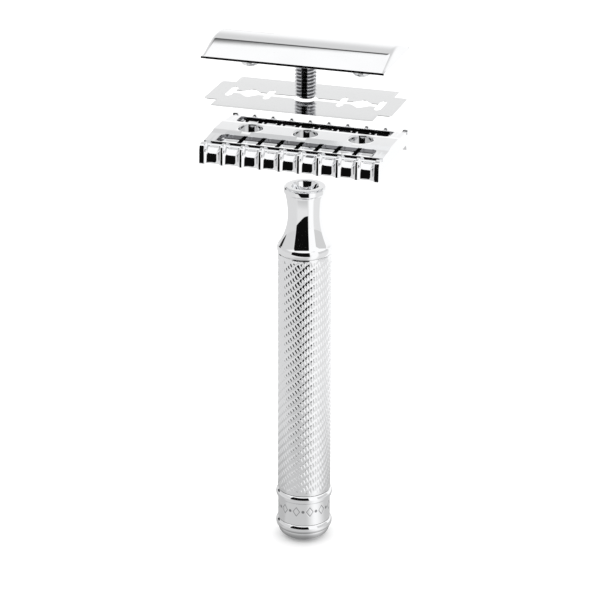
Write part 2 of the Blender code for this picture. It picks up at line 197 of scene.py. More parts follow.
def helical_skin(bm, columns, rows_per_turn, row_height, low, high, radius):
    """An open tube whose rows climb as a helix, cut flat at low and high.

    radius(column, row) gives the distance from the axis; the rows shift by rows_per_turn a turn.
    """
    first = int(math.floor(low / row_height)) - rows_per_turn - 2
    last = int(math.ceil(high / row_height)) + 2
    grid = []
    for i in range(columns):
        angle = 2 * math.pi * i / columns
        column = []
        for j in range(first, last + 1):
            height = (j + rows_per_turn * i / columns) * row_height
            r = radius(i, j, height)
            column.append(bm.verts.new((r * math.cos(angle), r * math.sin(angle), height)))
        grid.append(column)
    rows = last - first + 1
    for i in range(columns):
        following = grid[(i + 1) % columns]
        shift = rows_per_turn if i == columns - 1 else 0
        for j in range(rows - 1 - shift):
            a, d = grid[i][j], grid[i][j + 1]
            b, c = following[j + shift], following[j + 1 + shift]
            bm.faces.new((a, b, d))
            bm.faces.new((b, c, d))
    for height, up in ((low, False), (high, True)):
        bmesh.ops.bisect_plane(bm, geom=list(bm.verts) + list(bm.edges) + list(bm.faces),
                               plane_co=(0, 0, height), plane_no=(0, 0, 1), dist=1e-5,
                               clear_outer=up, clear_inner=not up)
    loose = [v for v in bm.verts if not v.link_faces]
    bmesh.ops.delete(bm, geom=loose, context='VERTS')


def turn_in(bm, height, radius, new_height=None):
    """Carry the open rim at height in to radius, and return the new rim's edges."""
    rim = [e for e in bm.edges if e.is_boundary and all(abs(v.co.z - height) < 1e-3 for v in e.verts)]
    grown = bmesh.ops.extrude_edge_only(bm, edges=rim)["geom"]
    verts = [g for g in grown if isinstance(g, bmesh.types.BMVert)]
    for vert in verts:
        length = math.hypot(vert.co.x, vert.co.y)
        vert.co.x *= radius / length
        vert.co.y *= radius / length
        if new_height is not None:
            vert.co.z = new_height
    return [g for g in grown if isinstance(g, bmesh.types.BMEdge) and g.is_boundary]


def line_tube(bm, low, high, radius):
    """Close a skin with flat ends and a plain inner or outer wall of that radius."""
    bmesh.ops.bridge_loops(bm, edges=turn_in(bm, low, radius) + turn_in(bm, high, radius))


def boolean(piece, cutter):
    """Cut a piece with a mesh that is thrown away afterwards."""
    step = piece.modifiers.new("cut", 'BOOLEAN')
    step.object = cutter
    step.solver = 'EXACT'
    bpy.context.view_layer.update()
    evaluated = piece.evaluated_get(bpy.context.evaluated_depsgraph_get())
    mesh = bpy.data.meshes.new_from_object(evaluated)
    piece.modifiers.clear()
    piece.data = mesh
    bpy.data.objects.remove(cutter, do_unlink=True)


def cutter_from(bm):
    bmesh.ops.recalc_face_normals(bm, faces=bm.faces)
    return object_from(bm, "cutter")


# ---------------------------------------------------------------- materials
class Tree:
    """Short calls for the nodes of one node tree."""

    def __init__(self, tree):
        self.tree = tree

    def add(self, kind, **settings):
        node = self.tree.nodes.new(kind)
        for key, value in settings.items():
            setattr(node, key, value)
        return node

    def link(self, output, target):
        self.tree.links.new(output, target)

    def math(self, operation, *values):
        node = self.add("ShaderNodeMath", operation=operation)
        for socket, value in zip(node.inputs, values):
            if isinstance(value, (int, float)):
                socket.default_value = value
            else:
                self.link(value, socket)
        return node.outputs["Value"]

    def times(self, first, second):
        return self.math('MULTIPLY', first, second)

    def rest(self, share):
        return self.math('SUBTRACT', 1.0, share)

    def spread(self, value, low, high, out_low, out_high, smooth=False):
        ramp = self.add("ShaderNodeMapRange")
        if smooth:
            ramp.interpolation_type = 'SMOOTHSTEP'
        for name, number in (("From Min", low), ("From Max", high), ("To Min", out_low),
                             ("To Max", out_high)):
            ramp.inputs[name].default_value = number
        self.link(value, ramp.inputs["Value"])
        return ramp.outputs["Result"]

    def step(self, value, edge, soft):
        """0 below edge and 1 above it, with a soft change."""
        return self.spread(value, edge - soft, edge + soft, 0.0, 1.0, True)

    def between(self, value, low, high, soft):
        return self.times(self.step(value, low, soft), self.rest(self.step(value, high, soft)))

    def split(self, vector):
        """The outputs X, Y and Z of a vector."""
        node = self.add("ShaderNodeSeparateXYZ")
        self.link(vector, node.inputs["Vector"])
        return node.outputs


class Nodes(Tree):
    """A metal's material, with the nodes that the metals share."""

    def __init__(self, name):
        self.mat = bpy.data.materials.new(name)
        self.mat.use_nodes = True
        super().__init__(self.mat.node_tree)
        self.shader = self.tree.nodes["Principled BSDF"]
        self.shader.inputs["Metallic"].default_value = 1.0
        self.place = self.add("ShaderNodeTexCoord").outputs["Object"]

    def noise(self, scale, detail=3.0, stretch=(1.0, 1.0, 1.0)):
        """Noise in metres, squeezed along each axis by stretch."""
        mapping = self.add("ShaderNodeMapping")
        mapping.inputs["Scale"].default_value = stretch
        self.link(self.place, mapping.inputs["Vector"])
        noise = self.add("ShaderNodeTexNoise")
        noise.inputs["Scale"].default_value = scale
        noise.inputs["Detail"].default_value = detail
        self.link(mapping.outputs["Vector"], noise.inputs["Vector"])
        return noise.outputs["Fac"]

    def mix(self, factor, low, high):
        """Blend two colours, or a colour output and a colour, by a factor output."""
        node = self.add("ShaderNodeMix", data_type='RGBA')
        self.link(factor, node.inputs["Factor"])
        if isinstance(low, tuple):
            node.inputs["A"].default_value = (*low, 1.0)
        else:
            self.link(low, node.inputs["A"])
        node.inputs["B"].default_value = (*high, 1.0)
        return node.outputs["Result"]

    def bump(self, height, strength, distance):
        node = self.add("ShaderNodeBump")
        node.inputs["Strength"].default_value = strength
        node.inputs["Distance"].default_value = distance
        self.link(height, node.inputs["Height"])
        self.link(node.outputs["Normal"], self.shader.inputs["Normal"])

    def plate(self, low_rough, high_rough):
        """Polishing haze and a trace of orange peel."""
        self.link(self.spread(self.noise(HAZE_SCALE, 4.0), 0.35, 0.75, low_rough, high_rough),
                  self.shader.inputs["Roughness"])
        self.bump(self.noise(PEEL_SCALE, 2.0), 0.02, 0.00002)


HAZE_SCALE = 260.0  # haze and orange peel, in features per metre
PEEL_SCALE = 900.0
DULL_SHARE = 0.965  # brightness of the plating where it is a little worn


def chrome(name, colour, low_rough, high_rough):
    """Plated metal, a little duller in patches."""
    nodes = Nodes(name)
    worn = nodes.spread(nodes.noise(90.0, 2.0), 0.35, 0.7, 0.0, 1.0)
    dull = tuple(c * DULL_SHARE for c in colour)
    nodes.link(nodes.mix(worn, colour, dull), nodes.shader.inputs["Base Color"])
    nodes.plate(low_rough, high_rough)
    return nodes.mat


def sunk_metal(name, sunk_shade_tint, deep, tint, proud, rough):
    """Plated metal round the handle's axis, with painted shade where its radius sinks from proud to deep.
    """
    nodes = Nodes(name)
    place = nodes.split(nodes.place)
    flat = nodes.add("ShaderNodeCombineXYZ")
    nodes.link(place["X"], flat.inputs["X"])
    nodes.link(place["Y"], flat.inputs["Y"])
    radius = nodes.add("ShaderNodeVectorMath", operation='LENGTH')
    nodes.link(flat.outputs["Vector"], radius.inputs[0])
    crest = nodes.spread(radius.outputs["Value"], deep * MM, proud * MM, 0.0, 1.0, True)
    nodes.link(nodes.mix(crest, sunk_shade_tint, tint), nodes.shader.inputs["Base Color"])
    nodes.link(nodes.spread(nodes.noise(700.0), 0.35, 0.75, *rough), nodes.shader.inputs["Roughness"])
    return nodes.mat


def comb_metal():
    """Chrome plate with painted shade darkening the troughs and the holes."""
    nodes = Nodes("comb_chrome")
    place = nodes.split(nodes.place)
    land = COMB_HIGH.z

    def inside(value, low, high, soft):
        return nodes.between(value, low * MM, high * MM, soft * MM)

    side = nodes.math('ABSOLUTE', place["Y"])
    along = nodes.math('ABSOLUTE', place["X"])
    height = place["Z"]
    # painted shade: the troughs between land and bar are tinted dark
    trough = nodes.times(inside(side, LAND_EDGE - 0.1, BAR_INNER + 0.03, 0.02),
                         inside(height, land - WEB_TOP + 0.10, land - LAND_DROP - 0.08, 0.05))
    trough = nodes.times(trough, inside(along, -1.0, COMB_HIGH.x - TROUGH_END + 0.1, 0.1))
    # painted shade: the holes for the posts and the stud are tinted grey
    bore = nodes.times(inside(side, -1.0, HOLE_RADIUS + 0.3, 0.05),
                       inside(height, land - LAND_THICKNESS, land - 0.15, 0.05))
    bore = nodes.times(bore, inside(along, -1.0, POST_SPACING + HOLE_RADIUS + 0.5, 0.1))
    shade = nodes.mix(trough, nodes.mix(bore, CHROME_TINT, BORE_SHADE_TINT), TROUGH_SHADE_TINT)
    nodes.link(shade, nodes.shader.inputs["Base Color"])
    nodes.plate(0.02, 0.06)
    return nodes.mat


def blade_metal():
    """Rolled strip steel: fine streaks along the blade, a little darker on the ground edges."""
    nodes = Nodes("blade_steel")
    shader = nodes.shader
    across = nodes.math('ABSOLUTE', nodes.split(nodes.place)["Y"])
    edge = nodes.spread(across, 0.0100, 0.0103, 0.0, 1.0, True)
    nodes.link(nodes.mix(edge, BLADE_TINT, EDGE_TINT), shader.inputs["Base Color"])
    streaks = nodes.noise(1400.0, 2.0, (0.04, 1.0, 1.0))
    nodes.link(nodes.spread(streaks, 0.3, 0.7, 0.05, 0.12), shader.inputs["Roughness"])
    nodes.bump(streaks, 0.015, 0.00001)
    return nodes.mat


CHROME_TINT = (0.945, 0.95, 0.96)
GRIP_TINT = (0.93, 0.935, 0.945)
STUD_TINT = (0.82, 0.825, 0.84)
ROOT_SHADE_TINT = (0.22, 0.22, 0.23)
ENGRAVED_SHADE_TINT = (0.30, 0.30, 0.31)
# painted shade for the comb's troughs and holes
TROUGH_SHADE_TINT = (0.22, 0.22, 0.23)
BORE_SHADE_TINT = (0.60, 0.605, 0.615)
BLADE_TINT = (0.86, 0.865, 0.87)
EDGE_TINT = (0.80, 0.805, 0.81)

CHROME = chrome("chrome_smooth", CHROME_TINT, 0.015, 0.05)
CHROME_GRIP = chrome("chrome_knurled", GRIP_TINT, 0.06, 0.12)
BLADE_STEEL = blade_metal()

# painted shade in the thread roots of the stud and the insert
STUD_CHROME = sunk_metal("stud_chrome", ROOT_SHADE_TINT, 2.05, STUD_TINT, 2.40, (0.03, 0.08))

TURNED_SIDES = 160


def turned(name, outline, body, replaces, mat=CHROME, sides=TURNED_SIDES, centre=(0.0, 0.0), relief=None):
    """A smooth chromed piece spun from an outline."""
    bm = bmesh.new()
    revolve(bm, outline, sides, centre, relief)
    return finished(name, bm, body, mat, replaces)


# ---------------------------------------------------------------- handle
BEAD_RADIUS = COLLAR_HIGH.x
BAND_RADIUS = 6.05
TUBE_RADIUS = TUBE_HIGH.x
BEAD_CURVE = 1.34  # radius of the beads' rounding
BEAD_HALF = 1.0
END_BEAD_Z = 3.75
COLLAR_BEAD_Z = 11.2
DOME_FLAT = 2.4  # radius of what the domed end stands on
DOME_STEP = 0.10  # step under the bead, and another one part way down the dome
DOME_STEP_ANGLE = 0.62  # where that one starts and how softly, in radians down the dome
DOME_STEP_SOFT = 0.08
DOME_POINTS = 30
BEAD_STEP = 0.45  # how far a bead stands out from the dome under it
FOOT_HOLLOW = 0.12  # shallow hollow in the foot, and the width of the rim round it
FOOT_RIM = 0.3


def bead_outline(low, high, tip, curve):
    """The outer side of a rounded ring as an arc of radius curve, from its upper edge down."""
    middle = (low + high) / 2
    reach = math.degrees(math.asin((high - low) / 2 / curve))
    return arc((tip - curve, middle), curve, reach, -reach, 17)


def make_end_cap():
    spigot = TUBE_BORE - SEAM
    neck = BEAD_RADIUS - BEAD_STEP
    bead_low, bead_high = END_BEAD_Z - BEAD_HALF, END_BEAD_Z + BEAD_HALF
    outline = [(0.0, END_HIGH.z), (spigot, END_HIGH.z), (spigot, bead_high)]
    outline += bead_outline(bead_low, bead_high, BEAD_RADIUS, BEAD_CURVE)
    dome_top = bead_low - DOME_STEP
    reach = neck - DOME_STEP - DOME_FLAT
    outline.append((neck - DOME_STEP, dome_top))
    for i in range(1, DOME_POINTS + 1):
        angle = math.radians(90.0 * i / DOME_POINTS)
        step = DOME_STEP * smoothstep((angle - DOME_STEP_ANGLE) / DOME_STEP_SOFT)
        outline.append((DOME_FLAT + reach * math.cos(angle) - step * math.cos(angle),
                        dome_top * (1.0 - math.sin(angle))))
    outline += [(DOME_FLAT - FOOT_RIM, FOOT_HOLLOW), (0.0, FOOT_HOLLOW)]
    return turned("end_cap_turned", outline, "handle", ["end_cap"])


MOTIF_COUNT = 12  # lozenges round the band, with a dot between each two
MOTIF_DEPTH = 0.06
MOTIF_Z = 8.3
LOZENGE_HALF_WIDTH = 1.0
LOZENGE_HALF_HEIGHT = 1.35
LOZENGE_LINE = 0.8  # middle and half width of its line, as shares of the lozenge
LOZENGE_LINE_HALF = 0.22
DOT_RADIUS = 0.5
DOT_SOFT = 0.25


def motif_relief(angle, radius, height):
    """Depth of the engraved lozenges and dots on the plain band."""
    pitch = 2 * math.pi * BAND_RADIUS / MOTIF_COUNT
    along = angle * BAND_RADIUS
    up = abs(height - MOTIF_Z)
    lozenge = abs(along - round(along / pitch) * pitch) / LOZENGE_HALF_WIDTH + up / LOZENGE_HALF_HEIGHT
    line = smoothstep(1.0 - abs(lozenge - LOZENGE_LINE) / LOZENGE_LINE_HALF)
    dot = math.hypot(along - (math.floor(along / pitch) + 0.5) * pitch, up)
    return MOTIF_DEPTH * max(line, smoothstep((DOT_RADIUS - dot) / DOT_SOFT))


BAND_ROWS = 40  # rows of the band's mesh, which carries the motif
BAND_SINK = 0.02
BAND_CHAMFER = 0.3


def make_collar_ring():
    bottom, top = END_BEAD_Z + BEAD_HALF + HAIRLINE, COLLAR_BEAD_Z + BEAD_HALF
    bead_low, bead_high = COLLAR_BEAD_Z - BEAD_HALF, COLLAR_BEAD_Z + BEAD_HALF
    proud = BAND_RADIUS - BAND_SINK
    outline = [(TUBE_BORE, top)]
    outline += bead_outline(bead_low, bead_high, BEAD_RADIUS, BEAD_CURVE)
    outline += [(proud, bead_low + (bottom + 0.1 - bead_low) * i / BAND_ROWS)
                for i in range(BAND_ROWS + 1)]
    outline += filleted([(proud, bottom + 0.1), (proud, bottom, 0.08),
                         (BAND_RADIUS - BAND_CHAMFER, bottom)])[1:]
    outline += [(TUBE_BORE, bottom)]
    # painted shade in the engraved lozenges and dots of the band
    band = sunk_metal("band_chrome", ENGRAVED_SHADE_TINT, proud - MOTIF_DEPTH, CHROME_TINT, proud - 0.01,
                      (0.02, 0.06))
    return turned("collar_ring_turned", outline, "handle", ["collar_ring"], band, 2 * TURNED_SIDES,
                  relief=motif_relief)


# ---------------------------------------------------------------- knurl
KNURL_COLUMNS = 58  # diamonds round the tube
KNURL_PITCH = 2.0  # height of one diamond
KNURL_SHIFT = 17  # pitches that a groove climbs in one turn
KNURL_STEPS = 6  # facets along each side of a diamond
RISING_DEPTH = 0.13
STEEP_DEPTH = 0.11
KNURL_MARGIN = 0.20  # plain band at each end of the tube
KNURL_FADE = 0.5
FLAT_GROOVE = 0.28  # half width of the rising grooves, as a share of their spacing
STEEP_GROOVE = 0.30
TUBE_BEVEL = 0.15  # height and depth of the bevel at each end of the tube
TUBE_BEVEL_DEPTH = 0.12


def groove(phase, half_width):
    """Depth of a rounded groove, from 0 on the land to 1 at its bottom, for a phase in turns."""
    distance = abs(phase - round(phase))
    return smoothstep(1.0 - distance / half_width) if distance < half_width else 0.0


def knurl_radius(column, row, height):
    u, v = column / KNURL_STEPS, row / KNURL_STEPS
    depth = max(RISING_DEPTH * groove(v, FLAT_GROOVE), STEEP_DEPTH * groove(u + v, STEEP_GROOVE))
    inside = min(height - TUBE_LOW.z, TUBE_HIGH.z - height) - KNURL_MARGIN
    return TUBE_RADIUS - depth * smoothstep(inside / KNURL_FADE)


def make_grip_tube():
    low, high = COLLAR_BEAD_Z + BEAD_HALF + HAIRLINE, TUBE_HIGH.z + SEAM - HAIRLINE
    bm = bmesh.new()
    helical_skin(bm, KNURL_COLUMNS * KNURL_STEPS, KNURL_SHIFT * KNURL_STEPS,
                 KNURL_PITCH / KNURL_STEPS, low + TUBE_BEVEL, high - TUBE_BEVEL, knurl_radius)
    turn_in(bm, low + TUBE_BEVEL, TUBE_RADIUS - TUBE_BEVEL_DEPTH, low)
    turn_in(bm, high - TUBE_BEVEL, TUBE_RADIUS - TUBE_BEVEL_DEPTH, high)
    line_tube(bm, low, high, TUBE_BORE)
    return finished("grip_tube_knurled", bm, "handle", CHROME_GRIP, ["grip_tube"],
                    40.0, weighted=False)


# ---------------------------------------------------------------- neck and insert
WAIST_RADIUS = 3.90
WAIST_Z = 79.6
RIM_RADIUS = 4.80
MOUTH_RADIUS = 2.95
MOUTH_THROAT = 2.54  # what the plated funnel leaves for the stud
RIM_STEP = 0.30  # how far the rim stands out from the side under it
RIM_SIDE = 1.85  # from the neck's top down to that side
FLARE_Z = 72.75  # lower end of the flare, and its radius there
FLARE_RADIUS = 5.95
NECK_BEAD_TOP = 72.62
NECK_BEAD_CURVE = 2.0


def neck_side(top):
    """The outer side under the rim bead: waist, flare and the step onto the lower bead."""
    waist_top = top - RIM_SIDE
    shoulder = RIM_RADIUS - RIM_STEP
    points = [(shoulder, waist_top)]
    for i in range(1, 13):
        t = i / 12
        ease = (1.0 - t) ** 2.0
        points.append((WAIST_RADIUS + (shoulder - WAIST_RADIUS) * ease,
                       waist_top + (WAIST_Z - waist_top) * t))
    for i in range(1, 17):
        t = i / 16
        points.append((WAIST_RADIUS + (FLARE_RADIUS - WAIST_RADIUS) * t ** 2.1,
                       WAIST_Z + (FLARE_Z - WAIST_Z) * t))
    return points


def make_neck():
    top, bottom = NECK_HIGH.z, NECK_LOW.z
    spigot = TUBE_BORE - SEAM
    bore = INSERT_HIGH.x + 0.10
    foot = TUBE_HIGH.z + SEAM
    mouth_floor = INSERT_HIGH.z + SEAM
    outline = filleted([(MOUTH_THROAT, mouth_floor), (MOUTH_THROAT, top - 1.8, 0.1),
                        (MOUTH_RADIUS + 0.1, top - 0.12, 0.1), (MOUTH_RADIUS + 0.25, top, 0.1),
                        (RIM_RADIUS - 0.32, top, 0.3), (RIM_RADIUS, top - 0.40, 0.35),
                        (RIM_RADIUS, top - 1.40, 0.3), (RIM_RADIUS - RIM_STEP, top - 1.75)], steps=8)
    outline += neck_side(top)
    outline += bead_outline(foot + 0.10, NECK_BEAD_TOP, NECK_HIGH.x, NECK_BEAD_CURVE)
    outline += [(TUBE_RADIUS - 0.1, foot), (spigot, foot), (spigot, bottom), (bore, bottom),
                (bore, mouth_floor)]
    return turned("neck_turned", outline, "handle", ["neck"])


def thread_form(share):
    """Depth of a thread from 0 at the crest to 1 at the root, for a share of the pitch."""
    distance = abs(share - round(share)) * 2.0
    return min(1.0, max(0.0, (distance - 0.125) / 0.70))


THREAD_PITCH = 0.8
THREAD_STEPS = 16
THREAD_DEPTH = 0.49
THREAD_COLUMNS = 72
INSERT_BORE = 2.62
INSERT_CHAMFER = 0.3
INSERT_SHARE = 0.35  # depth of the insert's thread, as a share of the stud's


def make_insert():
    low, high = INSERT_LOW.z, INSERT_HIGH.z

    def inner_radius(column, row, height):
        flare = max(0.0, height - (high - INSERT_CHAMFER)) + max(0.0, (low + INSERT_CHAMFER) - height)
        return INSERT_BORE - THREAD_DEPTH * INSERT_SHARE * thread_form(row / THREAD_STEPS) + flare

    bm = bmesh.new()
    helical_skin(bm, THREAD_COLUMNS, THREAD_STEPS, THREAD_PITCH / THREAD_STEPS, low, high, inner_radius)
    line_tube(bm, low, high, INSERT_HIGH.x)
    return finished("thread_insert_cut", bm, "screw_way", STUD_CHROME,
                    ["thread_insert"], weighted=False)


# ---------------------------------------------------------------- stud, posts and cap
SHANK_RISE = 1.4  # where the thread ends, above the cap's rim
THREAD_RUN_OUT = 0.3
STUD_TIP = 0.55  # height and slope of the chamfer at the stud's tip
STUD_TIP_SLOPE = 0.9


def make_stud():
    radius = STUD_HIGH.x
    tip, top = STUD_LOW.z, STUD_HIGH.z
    shank = CAP_LOW.z + SHANK_RISE

    def outer_radius(column, row, height):
        relief = smoothstep((shank - height) / THREAD_RUN_OUT)
        chamfer = max(0.0, tip + STUD_TIP - height)
        cut = THREAD_DEPTH * thread_form(row / THREAD_STEPS) * relief
        return max(radius - cut - chamfer * STUD_TIP_SLOPE, 0.5)

    bm = bmesh.new()
    helical_skin(bm, THREAD_COLUMNS, THREAD_STEPS, THREAD_PITCH / THREAD_STEPS, tip, top, outer_radius)
    for height in (tip, top):
        bmesh.ops.edgeloop_fill(bm, edges=turn_in(bm, height, 0.4))
    return finished("threaded_stud_cut", bm, "cap", STUD_CHROME, ["threaded_stud"],
                    weighted=False)


POST_ROUND = 1.1  # radius of a post's rounded end


def make_post(name, node):
    low, high = node_box(node)
    centre = ((low.x + high.x) / 2, 0.0)
    radius = (high.x - low.x) / 2
    outline = filleted([(0.0, high.z), (radius, high.z), (radius, low.z, POST_ROUND),
                        (0.0, low.z)], steps=12)
    return turned(name, outline, "cap", [node], sides=96, centre=centre)


CAP_CREASE = 3.0  # where the crown turns into the slope
CREASE_WIDTH = 1.1
CROWN_TILT = 11.0  # degrees of fall at the crease, beyond it and at the long edge
SLOPE_TILT = 17.5
EDGE_TILT = 20.0
CAP_RIM_WIDTH = 1.35
CAP_HOLLOW_RISE = 1.75
CAP_END_BEVEL = 0.9
CAP_END_WALL = 1.2
CAP_RIM_RISE = 0.30  # where the hollow starts at the rim, and its floor over the closed ends
CAP_END_RISE = 0.12


def cap_tilt(y):
    """Degrees by which the cap's outside falls away at y from the middle."""
    if y < CAP_CREASE:
        return CROWN_TILT * y / CAP_CREASE
    turn = (y - CAP_CREASE) / CREASE_WIDTH
    if turn < 1.0:
        return CROWN_TILT + (SLOPE_TILT - CROWN_TILT) * turn
    span = CAP_HIGH.y - CAP_CREASE - CREASE_WIDTH
    return SLOPE_TILT + (EDGE_TILT - SLOPE_TILT) * (y - CAP_CREASE - CREASE_WIDTH) / span


def cap_outside():
    """The crown and the slope as (y, z) above the rim, from the middle out."""
    z = CAP_HIGH.z - CAP_LOW.z
    edge = CAP_HIGH.y - 0.08
    stations = [CAP_CREASE * i / 8 for i in range(9)]
    stations += [CAP_CREASE + CREASE_WIDTH * i / 10 for i in range(1, 11)]
    stations += [CAP_CREASE + CREASE_WIDTH + (edge - CAP_CREASE - CREASE_WIDTH) * i / 14
                 for i in range(1, 15)]
    points = [(0.0, z)]
    for before, y in zip(stations, stations[1:]):
        z -= (y - before) * math.tan(math.radians(cap_tilt((before + y) / 2)))
        points.append((y, z))
    return points


def cap_half(wall):
    """Half of the cap's section as two rows of (y, z): the outside with the rim, and the hollow.

    wall runs from 0 along the cap to 1 at its ends, where the hollow is closed.
    """
    half_width = CAP_HIGH.y
    outer = cap_outside()
    rim = filleted([outer[-1], (half_width, outer[-1][1] - 0.05, 0.06), (half_width, 0.0, 0.05),
                    (half_width - 1.0, 0.0, 0.05), (half_width - CAP_RIM_WIDTH, CAP_RIM_RISE)])[1:]
    hollow = []
    for i in range(1, 16):
        t = 1.0 - i / 15
        y = (half_width - CAP_RIM_WIDTH) * t
        arch = math.sqrt(max(0.0, 1.0 - t ** 2.4))
        rise = CAP_RIM_RISE + (CAP_HOLLOW_RISE - CAP_RIM_RISE) * arch
        hollow.append((y, rise + (CAP_END_RISE - rise) * wall))
    return outer + rim, hollow


def cap_sections():
    """Closed sections along X; near both ends the outer side sinks in a rounded bevel."""
    half = CAP_HIGH.x
    floor = CAP_LOW.z
    stations = [(half - CAP_END_WALL - 0.5, 0.0, 0.0), (half - CAP_END_WALL, 0.0, 1.0)]
    for k in range(0, 9):
        angle = math.radians(90.0 * k / 8)
        stations.append((half - CAP_END_BEVEL * (1.0 - math.sin(angle)),
                         CAP_END_BEVEL * (1.0 - math.cos(angle)), 1.0))
    stations = [(-x, sink, wall) for x, sink, wall in stations[::-1]] + stations
    sections = []
    for x, sink, wall in stations:
        outside, hollow = cap_half(wall)
        side = []
        for y, z in outside:
            drop = sink * smoothstep(z / 0.9)
            side.append((x, y, floor + max(z - drop, min(z, 0.5))))
        below = [(x, y, floor + z) for y, z in hollow]
        ring = side + below + [(x, -y, z) for x, y, z in reversed(below[:-1])]
        ring += [(x, -y, z) for x, y, z in reversed(side[1:])]
        sections.append(ring)
    return sections


def make_cap():
    bm = bmesh.new()
    loft(bm, cap_sections())
    return finished("cap_plate_pressed", bm, "cap", CHROME, ["cap_plate"], 28.0)


BOSS_WIDTH = 0.9
BOSS_DROP = 0.75  # how far a collar reaches below the hollow's top


def make_boss(name, x, radius):
    """A collar that joins a post or the stud to the hollow of the cap."""
    top = CAP_LOW.z + CAP_HOLLOW_RISE + 0.4
    low = CAP_LOW.z + CAP_HOLLOW_RISE - BOSS_DROP
    outline = filleted([(radius + 0.05, top), (radius + BOSS_WIDTH, top),
                        (radius + BOSS_WIDTH, low, 0.25),
                        (radius + 0.05, low, 0.1)], closed=True)
    return turned(name, outline, "cap", [], sides=72, centre=(x, 0.0))


# ---------------------------------------------------------------- blade
BLADE_BODY_HALF = 18.45
BLADE_TAB_HALF = 6.6
POST_SPACING = 12.8
GROUND_WIDTH = 0.9  # how far the ground facets reach in from each edge
EDGE_HALF = 0.006  # half thickness of the cutting edge
BODY_CORNER = 0.5
TAB_CORNER = 0.8
SLOT_HALF = 0.9  # half widths of the slot, its round centre and its locating lobes
CENTRE_RADIUS = 2.6
LOBE_HALF = 2.75
LOBE_PEAK = 3.1  # the lobes are lozenges cut off at LOBE_HALF
LOBE_REACH = 3.0
SLITS = (8.4, 17.15)  # middles of the cross slits
SLIT_HALF = 0.75
SLIT_REACH = 3.4
SLOT_END = 17.90


def blade_half_width(x):
    x = abs(x)
    if x <= BLADE_BODY_HALF:
        end, width, corner = BLADE_BODY_HALF, BLADE_HIGH.y, BODY_CORNER
    else:
        end, width, corner = BLADE_HIGH.x, BLADE_TAB_HALF, TAB_CORNER
    into = x - (end - corner)
    if into > 0.0:
        width -= corner - math.sqrt(max(0.0, corner ** 2 - into ** 2))
    return width


def slot_half_width(x):
    """Half width of the slot: centre hole, cross slits and the two locating lobes."""
    x = abs(x)
    width = SLOT_HALF
    if x < CENTRE_RADIUS:
        width = max(width, math.sqrt(CENTRE_RADIUS ** 2 - x ** 2))
    lobe = LOBE_PEAK * (1.0 - abs(x - POST_SPACING) / LOBE_REACH)
    width = max(width, min(LOBE_HALF, lobe))
    for middle in SLITS:
        if abs(x - middle) <= SLIT_HALF:
            width = max(width, SLIT_REACH - 0.9 * (abs(x - middle) / SLIT_HALF) ** 2)
    return width


def blade_stations():
    """Places along the blade, closer together where its outline turns."""
    fine = {0.0, BLADE_BODY_HALF - 1e-3, BLADE_BODY_HALF + 1e-3}
    x = 0.0
    while x < BLADE_HIGH.x:
        fine.add(round(x, 3))
        x += 0.15
    for middle in SLITS:
        for side in (-SLIT_HALF, SLIT_HALF):
            fine.add(middle + side - 1e-3)
            fine.add(middle + side + 1e-3)
    for k in range(7):
        angle = math.radians(15.0 * k)
        fine.add(BLADE_BODY_HALF - BODY_CORNER + BODY_CORNER * math.sin(angle)
                 - (2e-3 if k == 6 else 0.0))
        fine.add(BLADE_HIGH.x - TAB_CORNER + TAB_CORNER * math.sin(angle))
    fine.add(SLOT_END)
    return sorted(fine)


def make_blade():
    half = blade_stations()
    stations = [-x for x in reversed(half) if x > 0.0] + half
    low, high = BLADE_LOW.z, BLADE_HIGH.z
    middle = (low + high) / 2
    bm = bmesh.new()

    def rows(x, side):
        """Points from the slot, or the middle, out to the edge as (y, lower z, upper z)."""
        outer = blade_half_width(x)
        inner = slot_half_width(x) if abs(x) <= SLOT_END else 0.0
        ground = min(GROUND_WIDTH, outer - inner) if abs(x) <= BLADE_BODY_HALF else 0.0
        edge = (middle - EDGE_HALF, middle + EDGE_HALF) if ground > 0.0 else (low, high)
        points = [(y, low, high) for y in (inner, (inner + outer - ground) / 2, outer - ground)]
        return [(y * side, z0, z1) for y, z0, z1 in points + [(outer, *edge)]]

    for side in (-1, 1):
        tops, bottoms = [], []
        for x in stations:
            points = rows(x, side)
            tops.append([bm.verts.new((x, y, z1)) for y, z0, z1 in points])
            bottoms.append([bm.verts.new((x, y, z0)) for y, z0, z1 in points])
        for i in range(len(stations) - 1):
            for k in range(3):
                bm.faces.new((tops[i][k], tops[i + 1][k], tops[i + 1][k + 1], tops[i][k + 1]))
                bm.faces.new((bottoms[i][k], bottoms[i][k + 1], bottoms[i + 1][k + 1],
                              bottoms[i + 1][k]))
            bm.faces.new((tops[i][3], tops[i + 1][3], bottoms[i + 1][3], bottoms[i][3]))
            if abs(stations[i] + stations[i + 1]) / 2 <= SLOT_END:
                bm.faces.new((tops[i][0], bottoms[i][0], bottoms[i + 1][0], tops[i + 1][0]))
        for i in (0, len(stations) - 1):
            for k in range(3):
                bm.faces.new((tops[i][k], tops[i][k + 1], bottoms[i][k + 1], bottoms[i][k]))
    bmesh.ops.remove_doubles(bm, verts=bm.verts, dist=1e-5)
    bmesh.ops.holes_fill(bm, edges=[e for e in bm.edges if e.is_boundary], sides=8)  # the slot's ends
    return finished("razor_blade_ground", bm, "blade", BLADE_STEEL, ["razor_blade"], 20.0)


